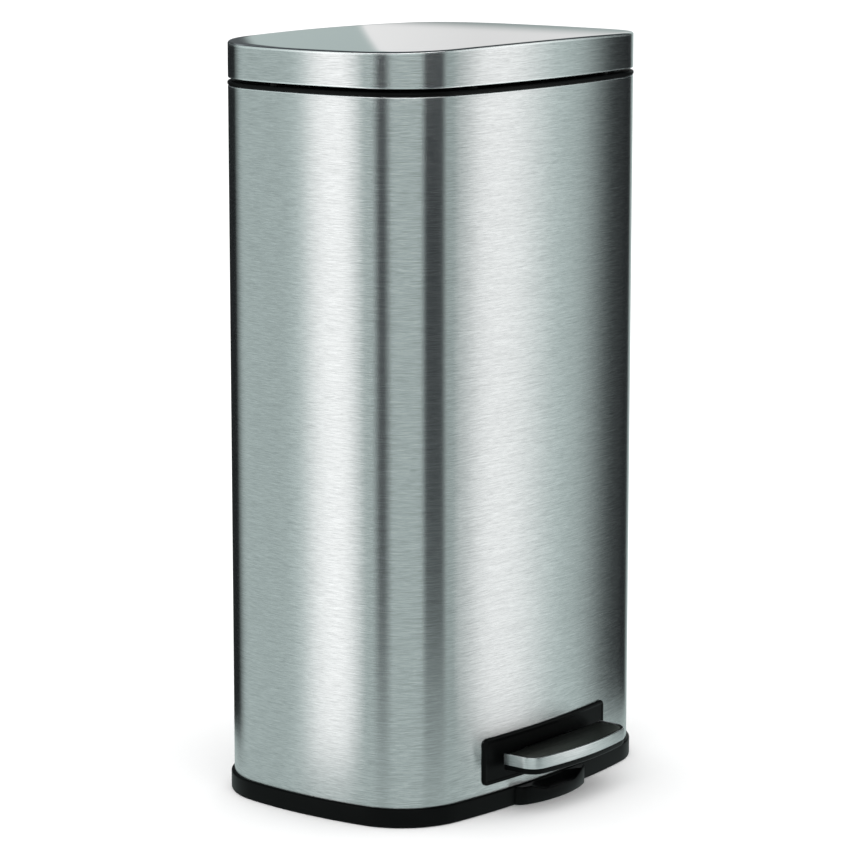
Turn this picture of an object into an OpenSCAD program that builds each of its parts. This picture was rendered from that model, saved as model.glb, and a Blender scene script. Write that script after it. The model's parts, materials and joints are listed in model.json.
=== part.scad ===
// Pedal trash can: a bowed rectangular steel body on a black plastic base, with a
// hinged steel lid that a foot pedal opens through a lever, a lift rod and a crank.
// Millimetres, +Z up, the front with the pedal faces -Y, and z = 0 is the floor.

/* [Body] */
// Width between the virtual corners of the body, before its sides bow out
body_width = 320; // [310:1:330]
// Depth between the virtual corners of the body
body_depth = 218; // [212:1:226]
// How far the front bows out
front_bow = 16.5; // [12:0.5:20]
// How far each side bows out
side_bow = 15.5; // [12:0.5:20]
// How far the back bows out
back_bow = 5; // [4:0.5:8]
// Radius of the four upright corners
corner_radius = 64; // [60:1:68]
// Height of the top edge of the steel body
body_top = 600; // [590:1:610]
// Thickness of the steel sheet
sheet = 0.8; // [0.8:0.1:1]

/* [Base] */
// Height of the visible black plinth
plinth_height = 16.4; // [16:0.2:19]
// How far the plinth stands proud of the steel
plinth_proud = 2.7; // [2.5:0.1:4]
// Reach of the toe lip in front of the body
toe_lip_reach = 16; // [14:1:18]

/* [Lid] */
// Black gap and bead between the steel body and the lid
lid_gap = 6; // [5:0.5:7]
// Height of the upright steel band of the lid, at the sides
lid_band = 29; // [26:0.5:32]
// How far the top of the lid bows up between the sides
lid_bow = 3.1; // [2:0.1:5]
// How far the lid swings open, in degrees
lid_travel = 78; // [70:1:78]

/* [Pedal] */
// Reach of the pedal in front of the body
pedal_reach = 43.2; // [41:0.2:44]
// Width of the pedal
pedal_width = 136; // [120:2:144]
// Height of the bottom of the pedal's steel band
pedal_band_low = 40.6; // [40:0.1:40.8]
// Height of the pedal's steel band
pedal_band_height = 9.7; // [9.4:0.1:11]
// How far the pedal turns when it is pressed, in degrees
pedal_travel = 10.5; // [9:0.5:11]

/* [Linkage] */
// Length of the lid's crank, from the hinge pin to the crank pin
crank_length = 22; // [20:0.5:23]
// Diameter of the lift rod
rod_diameter = 6; // [5:0.5:7]

/* [Hidden] */
$fn = 96;

// Colours
steel = "#b9bebd";
dark_steel = "#8c9190";
black_plastic = "#1d1f20";
grey_plastic = "#4a4d50";
rubber = "#111213";

// A plan is [width, front y, back y, front bow, side bow, back bow, corner radius]
body_plan = [body_width, -body_depth / 2, body_depth / 2, front_bow, side_bow, back_bow, corner_radius];
front_y = -body_depth / 2 - front_bow;
back_y = body_depth / 2 + back_bow;
// The middle of the whole footprint, pedal included, is put over the origin
centre_shift = (pedal_reach - front_y - (back_y + plinth_proud)) / 2;
// How many flat facets stand for each arc: front, front corner, side, back corner, back
arc_steps = [16, 12, 10, 12, 8];

// Lid heights
lid_bottom = body_top + lid_gap;
lid_rim = lid_bottom + lid_band;
// The top edge of the band is eased in steps: [inset, how far below the top]
lid_easing = [[0, 2.8], [0.6, 1.2], [1.8, 0]];
bow_steps = 24;
collar_thick = 3.5;
liner_low = lid_bottom + 2;
liner_thick = 2;

// Linkage: the crank swings equally far below and above the level of the hinge pin
hinge_y = back_y - 7.4;
hinge_height = body_top - 2;
half_swing = lid_travel / 2;
crank_low = crank_length * sin(half_swing);
rod_lift = 2 * crank_low;
rod_y = hinge_y - crank_length * (1 + cos(half_swing)) / 2;
crank_pin_y = hinge_y - crank_length * cos(half_swing);
crank_pin_z = hinge_height - crank_low;
lever_tilt = pedal_travel / 2;
lever_length = rod_lift / (2 * sin(lever_tilt));
axle_y = rod_y - lever_length * (1 + cos(lever_tilt)) / 2;
axle_z = 34;
lever_pin_y = axle_y + lever_length * cos(lever_tilt);
lever_pin_z = axle_z - lever_length * sin(lever_tilt);
pin_radius = 2.5;
axle_radius = 3;
rod_radius = rod_diameter / 2;
running = 0.06;
yoke_play = 0.55;

// Base and platform levels
plinth_low = 0.4;
plinth_step = 0.8;
floor_low = 3;
floor_top = 5.5;
groove_low = 12;
upstand_depth = 3.2;
hem_depth = 2.2;
platform_low = 62;
platform_top = 65;
platform_legs = [[-125, -48], [125, -48], [-125, 48], [125, 48]];
foot_places = [[-116, -82], [116, -82], [-116, 80], [116, 80]];

// Inner bucket
bucket_plan = [body_width - 38, -body_depth / 2 + 18, rod_y - 17, front_bow - 2, side_bow - 1.5, 3, 50];
bucket_top = body_top - 8;
bucket_wall = 2.2;

// Pedal outline
pedal_front = front_y - pedal_reach;
pedal_arc = 310;
band_thick = 1.2;
pedal_corner = 15;
pedal_rear = front_y - 4.9;
pedal_shell_low = pedal_band_low - 5.2;
pedal_screw_z = pedal_shell_low + 3;
pedal_top = pedal_band_low + pedal_band_height;
tread_low = pedal_top - 2.4;
tread_thick = 1.8;
bezel_thick = 2.2;
bezel_low = 23.7;
bezel_high = 63.9;
bezel_half = 85.2;
neck_half = 30;
window_low = 27.5;
window_high = 47.5;

// Pedal lever, bearing and axle
lever_plate_low = 41;
lever_plate = 3;
lever_cheek_low = 8;
lever_cheek_high = 11;
bracket_low_x = 26;
bracket_high_x = 29;

// Yokes, rod guides and damper
yoke_half = 3;
guide_heights = [150, 330, 510];
damper_x = 34;
damper_y = rod_y + 10;
damper_low = platform_top;
damper_high = 190;
damper_radius = 8;
piston_radius = 2.5;
arm_low = 262;
arm_thick = 8;

// Hinge bracket and the lid's bracket
hinge_half = 40;
ear_xs = [12.5, 35];
ear_thick = 3;
ear_radius = 4.8;
bracket_y_low = hinge_y - 26;
bracket_y_high = hinge_y - 10.2;

// Small hardware: heads and shanks of screws, rivets and pegs
rivet_hole = 2;
rivet_head = [3.6, 1.4];
screw_hole = 1.6;
screw_head = [3.2, 1.6];
leg_screw_hole = 2.1;
clip_thick = 1;

// ---------- plan geometry ----------

function arc_radius(chord, bow) = (chord * chord / 4 + bow * bow) / (2 * bow);

function angle_of(v) = atan2(v.y, v.x);

// One of the two points where two circles cross
function crossing(c1, r1, c2, r2, side) =
    let (
        apart = norm(c2 - c1),
        along = (r1 * r1 - r2 * r2 + apart * apart) / (2 * apart),
        across = sqrt(r1 * r1 - along * along),
        u = (c2 - c1) / apart
    )
    c1 + along * u + side * across * [-u.y, u.x];

function front_centre(p) = [0, p[1] - p[3] + arc_radius(p[0], p[3])];
function back_centre(p) = [0, p[2] + p[5] - arc_radius(p[0], p[5])];
function side_centre(p) = [p[0] / 2 + p[4] - arc_radius(p[2] - p[1], p[4]), (p[1] + p[2]) / 2];

// The five arcs of the right half: [centre, radius, start angle, sweep, has a mirror twin]
function arcs(p) =
    let (
        rf = arc_radius(p[0], p[3]),
        rs = arc_radius(p[2] - p[1], p[4]),
        rb = arc_radius(p[0], p[5]),
        r = p[6],
        cf = front_centre(p),
        cb = back_centre(p),
        cs = side_centre(p),
        kf = crossing(cf, rf - r, cs, rs - r, 1),
        kb = crossing(cb, rb - r, cs, rs - r, -1),
        a1 = angle_of(kf - cf),
        a2 = angle_of(kf - cs),
        a3 = angle_of(kb - cs),
        a4 = angle_of(kb - cb)
    )
    [
        [cf, rf, -180 - a1, 2 * a1 + 180, false],
        [kf, r, a1, a2 - a1, true],
        [cs, rs, a2, a3 - a2, true],
        [kb, r, a3, a4 - a3, true],
        [cb, rb, a4, 180 - 2 * a4, false]
    ];

// Points along one arc, without its last one, moved out by an offset
function arc_points(arc, offset, steps) =
    [for (i = [0 : steps - 1]) let (a = arc[2] + arc[3] * i / steps)
        arc[0] + (arc[1] + offset) * [cos(a), sin(a)]];

function flipped(points) = [for (i = [len(points) - 1 : -1 : 0]) [-points[i].x, points[i].y]];

// The plan's outline: the front, then the right half, the back and the left half
function outline(p, offset) =
    let (
        a = arcs(p),
        right = [for (i = [1 : 3]) each arc_points(a[i], offset, arc_steps[i])],
        last = arc_points(a[4], offset, arc_steps[4])
    )
    concat(
        arc_points(a[0], offset, arc_steps[0]),
        right,
        last,
        [[-last[0].x, last[0].y]],
        flipped([for (i = [1 : len(right) - 1]) right[i]])
    );

// Where the front and back walls are in y at a given x, and the side wall in x at a given y
function front_wall(x, offset) =
    front_centre(body_plan).y - sqrt(pow(arc_radius(body_width, front_bow) + offset, 2) - x * x);
function back_wall(x, offset) =
    back_centre(body_plan).y + sqrt(pow(arc_radius(body_width, back_bow) + offset, 2) - x * x);
function side_wall(y, offset) =
    side_centre(body_plan).x + sqrt(pow(arc_radius(body_depth, side_bow) + offset, 2) - y * y);

// A solid with the plan's outline, moved out by an offset
module block(p, offset, low, high) {
    translate([0, 0, low])
        linear_extrude(high - low)
            polygon(outline(p, offset));
}

// A ring between two offsets of the plan
module ring(p, outer, inner, low, high) {
    translate([0, 0, low])
        linear_extrude(high - low)
            difference() {
                polygon(outline(p, outer));
                polygon(outline(p, inner));
            }
}

// ---------- small shapes ----------

module placed() {
    translate([0, centre_shift, 0])
        children();
}

module both_sides() {
    for (side = [0, 1])
        mirror([side, 0, 0])
            children();
}

// A cylinder along X between two x values
module across(x_low, x_high, radius) {
    translate([x_low, 0, 0])
        rotate([0, 90, 0])
            cylinder(h = x_high - x_low, r = radius);
}

// A flat plate in the y-z plane, between two x values
module cheek(x_low, x_high) {
    translate([x_low, 0, 0])
        rotate([90, 0, 90])
            linear_extrude(x_high - x_low)
                children();
}

module rounded_rect(width, height, radius) {
    square([width - 2 * radius, height], center = true);
    square([width, height - 2 * radius], center = true);
    for (sx = [-1, 1])
        for (sy = [-1, 1])
            translate([sx * (width / 2 - radius), sy * (height / 2 - radius)])
                circle(r = radius);
}

// A screw or rivet: its head is [radius, height] below z = 0, and its shank runs along +Z
module fastener(head, shank, length) {
    translate([0, 0, -head[1]])
        cylinder(h = head[1], r = head[0]);
    translate([0, 0, -0.01])
        cylinder(h = length + 0.01, r = shank);
}

// ---------- body, base and lining ----------

module body_shell() {
    color(steel)
        placed()
            difference() {
                union() {
                    ring(body_plan, 0, -sheet, groove_low, body_top);
                    ring(body_plan, 0, -hem_depth, body_top - 6, body_top);
                }
                translate([-neck_half - 8, front_y - 5, window_low - 1.5])
                    cube([2 * neck_half + 16, 20, window_high - window_low + 12]);
                bezel_peg_places()
                    rotate([-90, 0, 0])
                        translate([0, 0, -10])
                            cylinder(h = 20, r = rivet_hole);
                hinge_rivet_places()
                    translate([0, 0, -10])
                        cylinder(h = 20, r = rivet_hole);
                guide_rivet_places()
                    translate([0, 0, -10])
                        cylinder(h = 20, r = rivet_hole);
            }
}

// Black ring on the steel edge: a rounded bead outside, a skirt inside, and a deck at the rear
module top_collar() {
    high = body_top + collar_thick;
    color(black_plastic)
        placed()
            difference() {
                union() {
                    ring(body_plan, 0.1, -14, body_top, body_top + 0.6);
                    ring(body_plan, 0.5, -14, body_top + 0.6, high - 0.6);
                    ring(body_plan, -0.1, -14, high - 0.6, high);
                    ring(body_plan, -hem_depth, -hem_depth - 1.8, body_top - 16, body_top + 0.1);
                    intersection() {
                        block(body_plan, -3, body_top, high);
                        translate([-200, rod_y - 9, body_top])
                            cube([400, 60, collar_thick]);
                    }
                }
                translate([-hinge_half - 2, rod_y - 10, body_top - 30])
                    cube([2 * hinge_half + 4, 60, 40]);
            }
}

module toe_lip_outline() {
    arc = 120;
    end = 48;
    fillet = 12;
    reach_y = front_y - toe_lip_reach;
    intersection() {
        translate([0, reach_y + arc])
            circle(r = arc, $fn = 240);
        translate([-(end - fillet), reach_y])
            square([2 * (end - fillet), 40]);
    }
    for (sx = [-1, 1])
        translate([sx * (end - fillet), reach_y + arc - sqrt(pow(arc - fillet, 2) - pow(end - fillet, 2))])
            circle(r = fillet);
    translate([-end, front_y - 4])
        square([2 * end, 14]);
}

// The hollow under the pedal in the top of the toe lip, which gets shallower towards its ends
module toe_scoop() {
    translate([0, front_y - 12, plinth_height + 5.9]) {
        across(-18, 18, 12);
        both_sides()
            translate([18, 0, 0])
                rotate([0, 90, 0])
                    cylinder(h = 26, r1 = 12, r2 = 6);
    }
}

// The plinth: an outer skirt, an upstand inside the steel, a floor with ribs and the toe lip
module base_tray() {
    color(black_plastic)
        placed()
            difference() {
                union() {
                    ring(body_plan, plinth_proud - 0.6, -upstand_depth, plinth_low, plinth_low + plinth_step);
                    ring(body_plan, plinth_proud, -upstand_depth, plinth_low + plinth_step, groove_low);
                    ring(body_plan, plinth_proud, 0, groove_low, plinth_height - plinth_step);
                    ring(body_plan, plinth_proud - plinth_step, 0, groove_low, plinth_height);
                    ring(body_plan, -sheet, -upstand_depth, floor_low, 24);
                    block(body_plan, -1, floor_low, floor_top);
                    difference() {
                        translate([0, 0, plinth_low])
                            linear_extrude(plinth_height - plinth_step - plinth_low)
                                toe_lip_outline();
                        block(body_plan, 1, 0, 40);
                        toe_scoop();
                    }
                    for (place = platform_legs)
                        translate([place.x, place.y, floor_low])
                            cylinder(h = 12, r = 9);
                    for (x = [-60, 60])
                        translate([x - 1, -90, floor_low])
                            cube([2, 180, 9]);
                }
                for (place = platform_legs)
                    translate([place.x, place.y, -1])
                        cylinder(h = 40, r = leg_screw_hole);
                bracket_screw_places()
                    translate([0, 0, -3])
                        cylinder(h = 12, r = screw_hole);
            }
}

module foot_pads() {
    color(rubber)
        placed()
            for (place = foot_places)
                translate([place.x, place.y, 0])
                    cylinder(h = floor_low, r = 11);
}

// The deck that the bucket stands on, over the pedal mechanism, on four hollow legs
module bucket_platform() {
    color(black_plastic)
        placed()
            difference() {
                union() {
                    block(body_plan, -sheet, platform_low, platform_top);
                    for (place = platform_legs)
                        translate([place.x, place.y, floor_low + 12])
                            cylinder(h = platform_low - floor_low - 11, r = 7);
                }
                for (place = platform_legs)
                    translate([place.x, place.y, 0])
                        cylinder(h = 40, r = leg_screw_hole);
                translate([0, rod_y, platform_low - 1])
                    cylinder(h = 6, r = rod_radius + running);
            }
}

module platform_screws() {
    color(dark_steel)
        placed()
            for (place = platform_legs)
                translate([place.x, place.y, floor_low])
                    fastener([4, 1.6], leg_screw_hole, 26);
}

// ---------- pedal surround ----------

module bezel_peg_places() {
    for (x = [-76, 76])
        for (z = [bezel_low + 8, bezel_high - 8])
            translate([x, front_wall(x, 0), z])
                children();
}

module pedal_bezel() {
    middle = (bezel_low + bezel_high) / 2;
    color(black_plastic)
        placed() {
            difference() {
                intersection() {
                    ring(body_plan, bezel_thick, 0, bezel_low - 2, bezel_high + 2);
                    translate([0, front_y + 20, middle])
                        rotate([90, 0, 0])
                            linear_extrude(40)
                                rounded_rect(2 * bezel_half, bezel_high - bezel_low, 5);
                }
                translate([-neck_half - 4, front_y - 10, window_low])
                    cube([2 * neck_half + 8, 30, window_high - window_low]);
            }
            bezel_peg_places()
                rotate([-90, 0, 0])
                    translate([0, 0, -1])
                        cylinder(h = 6, r = rivet_hole);
        }
}

module bezel_nuts() {
    color(dark_steel)
        placed()
            bezel_peg_places()
                rotate([-90, 0, 0])
                    translate([0, 0, 1.6])
                        difference() {
                            cylinder(h = 1.2, r = 5);
                            translate([0, 0, -1])
                                cylinder(h = 4, r = rivet_hole);
                        }
}

// ---------- pedal bearing ----------

module bracket_screw_places() {
    for (sx = [-1, 1])
        for (sy = [-1, 1])
            translate([sx * (bracket_high_x + 5), axle_y + sy * 10, floor_top])
                children();
}

module axle_brackets() {
    color(dark_steel)
        placed()
            both_sides()
                difference() {
                    union() {
                        cheek(bracket_low_x, bracket_high_x) {
                            translate([axle_y, axle_z])
                                circle(r = 8);
                            polygon([[axle_y - 16, floor_top], [axle_y + 16, floor_top],
                                [axle_y + 7, axle_z + 3], [axle_y - 7, axle_z + 3]]);
                        }
                        translate([bracket_low_x, axle_y - 16, floor_top])
                            cube([14, 32, 3]);
                    }
                    translate([0, axle_y, axle_z])
                        across(0, 60, axle_radius);
                    bracket_screw_places()
                        translate([0, 0, -5])
                            cylinder(h = 20, r = screw_hole);
                }
}

module bracket_screws() {
    color(dark_steel)
        placed()
            bracket_screw_places()
                translate([0, 0, 3])
                    rotate([180, 0, 0])
                        fastener(screw_head, screw_hole, 5.4);
}

module pedal_axle() {
    color(dark_steel)
        placed()
            translate([0, axle_y, axle_z])
                across(-34, 34, axle_radius);
}

module axle_clips() {
    color(dark_steel)
        placed()
            both_sides()
                translate([0, axle_y, axle_z])
                    difference() {
                        across(bracket_high_x, bracket_high_x + clip_thick, 5.5);
                        across(bracket_high_x - 1, bracket_high_x + 2, axle_radius);
                    }
}

// ---------- lift rod guides and damper ----------

module guide_rivet_places() {
    for (z = guide_heights)
        translate([0, back_wall(0, 0), z])
            rotate([90, 0, 0])
                children();
}

module rod_guides() {
    wall = back_wall(10, -sheet);
    color(black_plastic)
        placed()
            for (z = guide_heights)
                difference() {
                    translate([-10, rod_y - 7, z - 8])
                        cube([20, wall - rod_y + 7, 16]);
                    translate([0, rod_y, z - 10])
                        cylinder(h = 20, r = rod_radius + running);
                    translate([0, back_wall(0, 0) - 14, z])
                        rotate([-90, 0, 0])
                            cylinder(h = 20, r = rivet_hole);
                }
}

module guide_rivets() {
    color(dark_steel)
        placed()
            guide_rivet_places()
                fastener(rivet_head, rivet_hole, 10);
}

module damper_cylinder() {
    color(grey_plastic)
        placed()
            translate([damper_x, damper_y, damper_low])
                difference() {
                    cylinder(h = damper_high - damper_low, r = damper_radius);
                    translate([0, 0, 20])
                        cylinder(h = 200, r = piston_radius + running);
                }
}

module damper_clip() {
    wall = back_wall(damper_x + 12, -sheet);
    color(dark_steel)
        placed()
            difference() {
                translate([damper_x - 10, damper_y - 10, damper_high - 40])
                    cube([20, wall - damper_y + 10, 12]);
                translate([damper_x, damper_y, damper_high - 60])
                    cylinder(h = 60, r = damper_radius);
                translate([damper_x - 5, damper_y - 20, damper_high - 50])
                    cube([10, 16, 40]);
            }
}

// ---------- rear hinge ----------

module hinge_rivet_places() {
    for (x = [-26, 26])
        for (z = [hinge_height - 22, hinge_height - 10])
            translate([x, back_wall(x, 0), z])
                rotate([90, 0, 0])
                    children();
}

module hinge_bracket() {
    color(dark_steel)
        placed()
            difference() {
                union() {
                    intersection() {
                        ring(body_plan, -sheet, -sheet - 3, hinge_height - 30, body_top - 7);
                        translate([-hinge_half, 0, 0])
                            cube([2 * hinge_half, 200, body_top]);
                    }
                    both_sides()
                        for (x = ear_xs)
                            cheek(x, x + ear_thick) {
                                translate([hinge_y, hinge_height])
                                    circle(r = ear_radius);
                                polygon([[hinge_y - ear_radius, hinge_height], [hinge_y - 1, hinge_height - 26],
                                    [back_wall(0, -sheet - 2), hinge_height - 26],
                                    [back_wall(0, -sheet - 2), hinge_height - 8],
                                    [hinge_y + 4, hinge_height - 2]]);
                            }
                }
                translate([0, hinge_y, hinge_height])
                    across(-50, 50, pin_radius);
                hinge_rivet_places()
                    translate([0, 0, -5])
                        cylinder(h = 20, r = rivet_hole);
            }
}

module hinge_rivets() {
    color(dark_steel)
        placed()
            hinge_rivet_places()
                fastener(rivet_head, rivet_hole, 5);
}

module hinge_pin() {
    color(dark_steel)
        placed()
            translate([0, hinge_y, hinge_height])
                across(-41, 41, pin_radius);
}

module hinge_clips() {
    color(dark_steel)
        placed()
            both_sides()
                translate([0, hinge_y, hinge_height])
                    difference() {
                        across(ear_xs[1] + ear_thick, ear_xs[1] + ear_thick + clip_thick, 4.4);
                        across(ear_xs[1], ear_xs[1] + 6, pin_radius);
                    }
}

// ---------- pedal ----------

// The pedal's plan, shrunk by inset, from the front edge back to the straight rear edge
module pedal_outline(inset) {
    cx = pedal_width / 2 - pedal_corner;
    arc_y = pedal_front + pedal_arc;
    cy = arc_y - sqrt(pow(pedal_arc - pedal_corner, 2) - cx * cx);
    intersection() {
        translate([0, arc_y])
            circle(r = pedal_arc - inset, $fn = 240);
        polygon([[0, arc_y], [-2 * cx, 2 * cy - arc_y], [2 * cx, 2 * cy - arc_y]]);
        translate([-2 * cx, pedal_front])
            square([4 * cx, cy - pedal_front + 6]);
    }
    for (sx = [-1, 1])
        translate([sx * cx, cy])
            circle(r = pedal_corner - inset);
    translate([inset - pedal_width / 2, cy])
        square([pedal_width - 2 * inset, pedal_rear - cy]);
}

module pedal_shell() {
    color(black_plastic)
        placed()
            difference() {
                union() {
                    translate([0, 0, pedal_shell_low])
                        linear_extrude(pedal_band_low - pedal_shell_low)
                            pedal_outline(0.5);
                    translate([0, 0, pedal_shell_low])
                        linear_extrude(tread_low - pedal_shell_low)
                            pedal_outline(band_thick);
                }
                translate([-50, pedal_front + 10, lever_plate_low])
                    cube([100, pedal_reach, lever_plate]);
                pedal_screw_places()
                    translate([0, 0, -20]) {
                        cylinder(h = 40, r = rivet_hole);
                        cylinder(h = 20 + pedal_screw_z - lever_plate_low, r = 4);
                    }
            }
}

module pedal_band() {
    color(steel)
        placed()
            translate([0, 0, pedal_band_low])
                linear_extrude(pedal_band_height)
                    difference() {
                        pedal_outline(0);
                        pedal_outline(band_thick);
                        translate([-pedal_width / 2 + band_thick, pedal_rear - 5])
                            square([pedal_width - 2 * band_thick, 10]);
                    }
}

module pedal_tread() {
    color("#33373a")
        placed()
            translate([0, 0, tread_low])
                linear_extrude(tread_thick)
                    pedal_outline(band_thick);
}

module pedal_screw_places() {
    for (x = [-36, 36])
        translate([x, front_y - 18, lever_plate_low])
            children();
}

module pedal_screws() {
    color(dark_steel)
        placed()
            pedal_screw_places()
                translate([0, 0, pedal_screw_z - lever_plate_low])
                    fastener([3.8, 1.8], rivet_hole, lever_plate_low + lever_plate - pedal_screw_z);
}

// A stamped steel lever: a wide plate inside the pedal, two cheeks and the axle hub
module pedal_lever() {
    plate_high = lever_plate_low + lever_plate;
    color(dark_steel)
        placed()
            difference() {
                union() {
                    translate([-50, pedal_front + 10, lever_plate_low])
                        cube([100, pedal_reach - 16, lever_plate]);
                    translate([-neck_half, front_y - 12, lever_plate_low])
                        cube([2 * neck_half, 44, lever_plate]);
                    both_sides()
                        cheek(lever_cheek_low, lever_cheek_high) {
                            translate([axle_y, axle_z])
                                circle(r = 8);
                            translate([lever_pin_y, lever_pin_z])
                                circle(r = 6.5);
                            polygon([[front_y + 6, plate_high], [front_y + 10, lever_plate_low - 5],
                                [axle_y - 4, axle_z - 7], [axle_y + 1, axle_z - 8],
                                [lever_pin_y - 1, lever_pin_z - 6.5], [lever_pin_y + 1, lever_pin_z + 6.4],
                                [axle_y + 2, axle_z + 7.9], [axle_y - 10, plate_high]]);
                        }
                    translate([0, axle_y, axle_z])
                        across(-24, 24, 7);
                    translate([-lever_cheek_high, axle_y + 60, axle_z - 12])
                        cube([2 * lever_cheek_high, 14, 3]);
                }
                translate([0, axle_y, axle_z])
                    across(-50, 50, axle_radius + running);
                translate([0, lever_pin_y, lever_pin_z])
                    across(-50, 50, pin_radius);
                pedal_screw_places()
                    translate([0, 0, -5])
                        cylinder(h = 20, r = rivet_hole);
            }
}

module lever_pin() {
    color(dark_steel)
        placed()
            translate([0, lever_pin_y, lever_pin_z])
                across(-lever_cheek_high - 2, lever_cheek_high + 2, pin_radius);
}

// ---------- lift rod ----------

// A flat eye with a level slot, which carries a pin that moves a little in y
module yoke(pin_z, slot_low_y, slot_high_y, play, reach_low, reach_high) {
    r = pin_radius + play;
    difference() {
        union() {
            cheek(-yoke_half, yoke_half) {
                for (y = [slot_low_y, slot_high_y])
                    translate([y, pin_z])
                        circle(r = r + 2.6);
                translate([slot_low_y, pin_z - r - 2.6])
                    square([slot_high_y - slot_low_y, 2 * (r + 2.6)]);
            }
            translate([0, rod_y, pin_z + reach_low])
                cylinder(h = reach_high - reach_low, r = 5);
        }
        cheek(-yoke_half - 3, yoke_half + 3) {
            for (y = [slot_low_y, slot_high_y])
                translate([y, pin_z])
                    circle(r = r);
            translate([slot_low_y, pin_z - r])
                square([slot_high_y - slot_low_y, 2 * r]);
        }
        translate([0, rod_y, pin_z + (reach_low > 0 ? r + 4 : reach_low - 1)])
            cylinder(h = reach_high - reach_low, r = rod_radius);
    }
}

module lower_yoke() {
    play = 0.1;
    far = axle_y + lever_length;
    color(dark_steel)
        placed()
            yoke(lever_pin_z, lever_pin_y - play, far + play, play, 3, 11);
}

module upper_yoke() {
    play = 0.1;
    near = hinge_y - crank_length;
    color(dark_steel)
        placed()
            yoke(crank_pin_z, near - play, crank_pin_y + play, yoke_play, -18, -4);
}

module lift_rod() {
    low = lever_pin_z + pin_radius + 0.1 + 4;
    high = crank_pin_z - 5;
    color(steel)
        placed()
            translate([0, rod_y, low])
                cylinder(h = high - low, r = rod_radius);
}

module damper_arm() {
    reach = norm([damper_x, damper_y - rod_y]);
    color(dark_steel)
        placed()
            translate([0, rod_y, arm_low])
                rotate([0, 0, atan2(damper_y - rod_y, damper_x)])
                    difference() {
                        union() {
                            cylinder(h = arm_thick, r = 6);
                            translate([reach, 0, 0])
                                cylinder(h = arm_thick, r = 5.5);
                            translate([4.5, -3.5, 0])
                                cube([reach - 8.5, 7, arm_thick]);
                        }
                        translate([0, 0, -1])
                            cylinder(h = 10, r = rod_radius);
                        translate([reach, 0, -1])
                            cylinder(h = 10, r = piston_radius);
                    }
}

module damper_piston() {
    color(steel)
        placed()
            translate([damper_x, damper_y, damper_low + 30])
                cylinder(h = arm_low + 10 - damper_low - 30, r = piston_radius);
}

// ---------- lid ----------

// Everything below the lid's top, which bows up between the sides
module under_bow(drop) {
    half = side_wall(0, 0);
    rotate([90, 0, 0])
        translate([0, 0, -200])
            linear_extrude(400)
                polygon(concat(
                    [[half, lid_bottom - 2], [-half, lid_bottom - 2]],
                    [for (i = [0 : bow_steps]) let (t = 2 * i / bow_steps - 1)
                        [t * half, lid_rim - drop + lid_bow * (1 - t * t)]]
                ));
}

// The lid's solid form, shrunk by inset: an upright band with an eased edge and a bowed top
module lid_form(inset) {
    low = lid_bottom - (inset > 0 ? 1 : 0);
    for (step = lid_easing)
        intersection() {
            block(body_plan, -inset - step[0], low, lid_rim + lid_bow + 1);
            under_bow(inset + step[1]);
        }
}

module lid_shell() {
    color(steel)
        placed()
            difference() {
                lid_form(0);
                lid_form(sheet);
            }
}

// Black inner lid: a flat panel with a skirt up inside the steel and a lip down into the collar
module lid_liner() {
    color(black_plastic)
        placed()
            difference() {
                union() {
                    block(body_plan, -sheet, liner_low, liner_low + liner_thick);
                    ring(body_plan, -sheet, -sheet - 2, liner_low, lid_rim - 6);
                    difference() {
                        ring(body_plan, -17, -19, liner_low - 3.2, liner_low + 1);
                        translate([-200, rod_y - 22, 0])
                            cube([400, 100, 900]);
                    }
                    lid_screw_places()
                        cylinder(h = 9, r = 4.5);
                }
                lid_screw_places()
                    translate([0, 0, -1])
                        cylinder(h = 9, r = screw_hole);
            }
}

module lid_screw_places() {
    for (x = [-22, 22])
        translate([x, (bracket_y_low + bracket_y_high) / 2, liner_low])
            children();
}

// Profile of a gooseneck from the hinge pin, forward and up to the lid
module gooseneck(top) {
    translate([hinge_y, hinge_height])
        circle(r = ear_radius);
    polygon([[hinge_y - 3, hinge_height - 3.7], [bracket_y_low + 7, hinge_height - 1],
        [bracket_y_low + 4, top], [bracket_y_high, top], [hinge_y - 7, hinge_height + 4],
        [hinge_y - 1, hinge_height + 4.7]]);
}

module lid_bracket() {
    low = liner_low - 2.5;
    color(dark_steel)
        placed()
            difference() {
                union() {
                    translate([-34.5, bracket_y_low, low])
                        cube([69, bracket_y_high - bracket_y_low, 2.5]);
                    both_sides() {
                        cheek(ear_xs[1] - 4, ear_xs[1] - 1)
                            gooseneck(low + 1);
                        cheek(6, 9) {
                            gooseneck(low + 1);
                            translate([crank_pin_y, crank_pin_z])
                                circle(r = 5);
                            polygon([[hinge_y + 3, hinge_height - 3.7], [hinge_y - 3, hinge_height + 3],
                                [crank_pin_y - 3.5, crank_pin_z + 3.5], [crank_pin_y + 3, crank_pin_z - 4]]);
                        }
                    }
                }
                translate([0, hinge_y, hinge_height])
                    across(-50, 50, pin_radius + running);
                translate([0, crank_pin_y, crank_pin_z])
                    across(-50, 50, pin_radius);
                lid_screw_places()
                    translate([0, 0, -5])
                        cylinder(h = 10, r = screw_hole);
            }
}

module crank_pin() {
    color(dark_steel)
        placed()
            translate([0, crank_pin_y, crank_pin_z])
                across(-10.5, 10.5, pin_radius);
}

module lid_screws() {
    color(dark_steel)
        placed()
            lid_screw_places()
                translate([0, 0, -2.5])
                    fastener(screw_head, screw_hole, 10);
}

module lid_bumpers() {
    front_x = 90;
    places = [[-front_x, front_wall(front_x, -8)], [front_x, front_wall(front_x, -8)],
        [-side_wall(30, -8), 30], [side_wall(30, -8), 30]];
    color(rubber)
        placed()
            for (place = places)
                translate([place.x, place.y, body_top + collar_thick])
                    cylinder(h = liner_low - body_top - collar_thick, r = 4.5);
}

// ---------- bucket ----------

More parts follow.
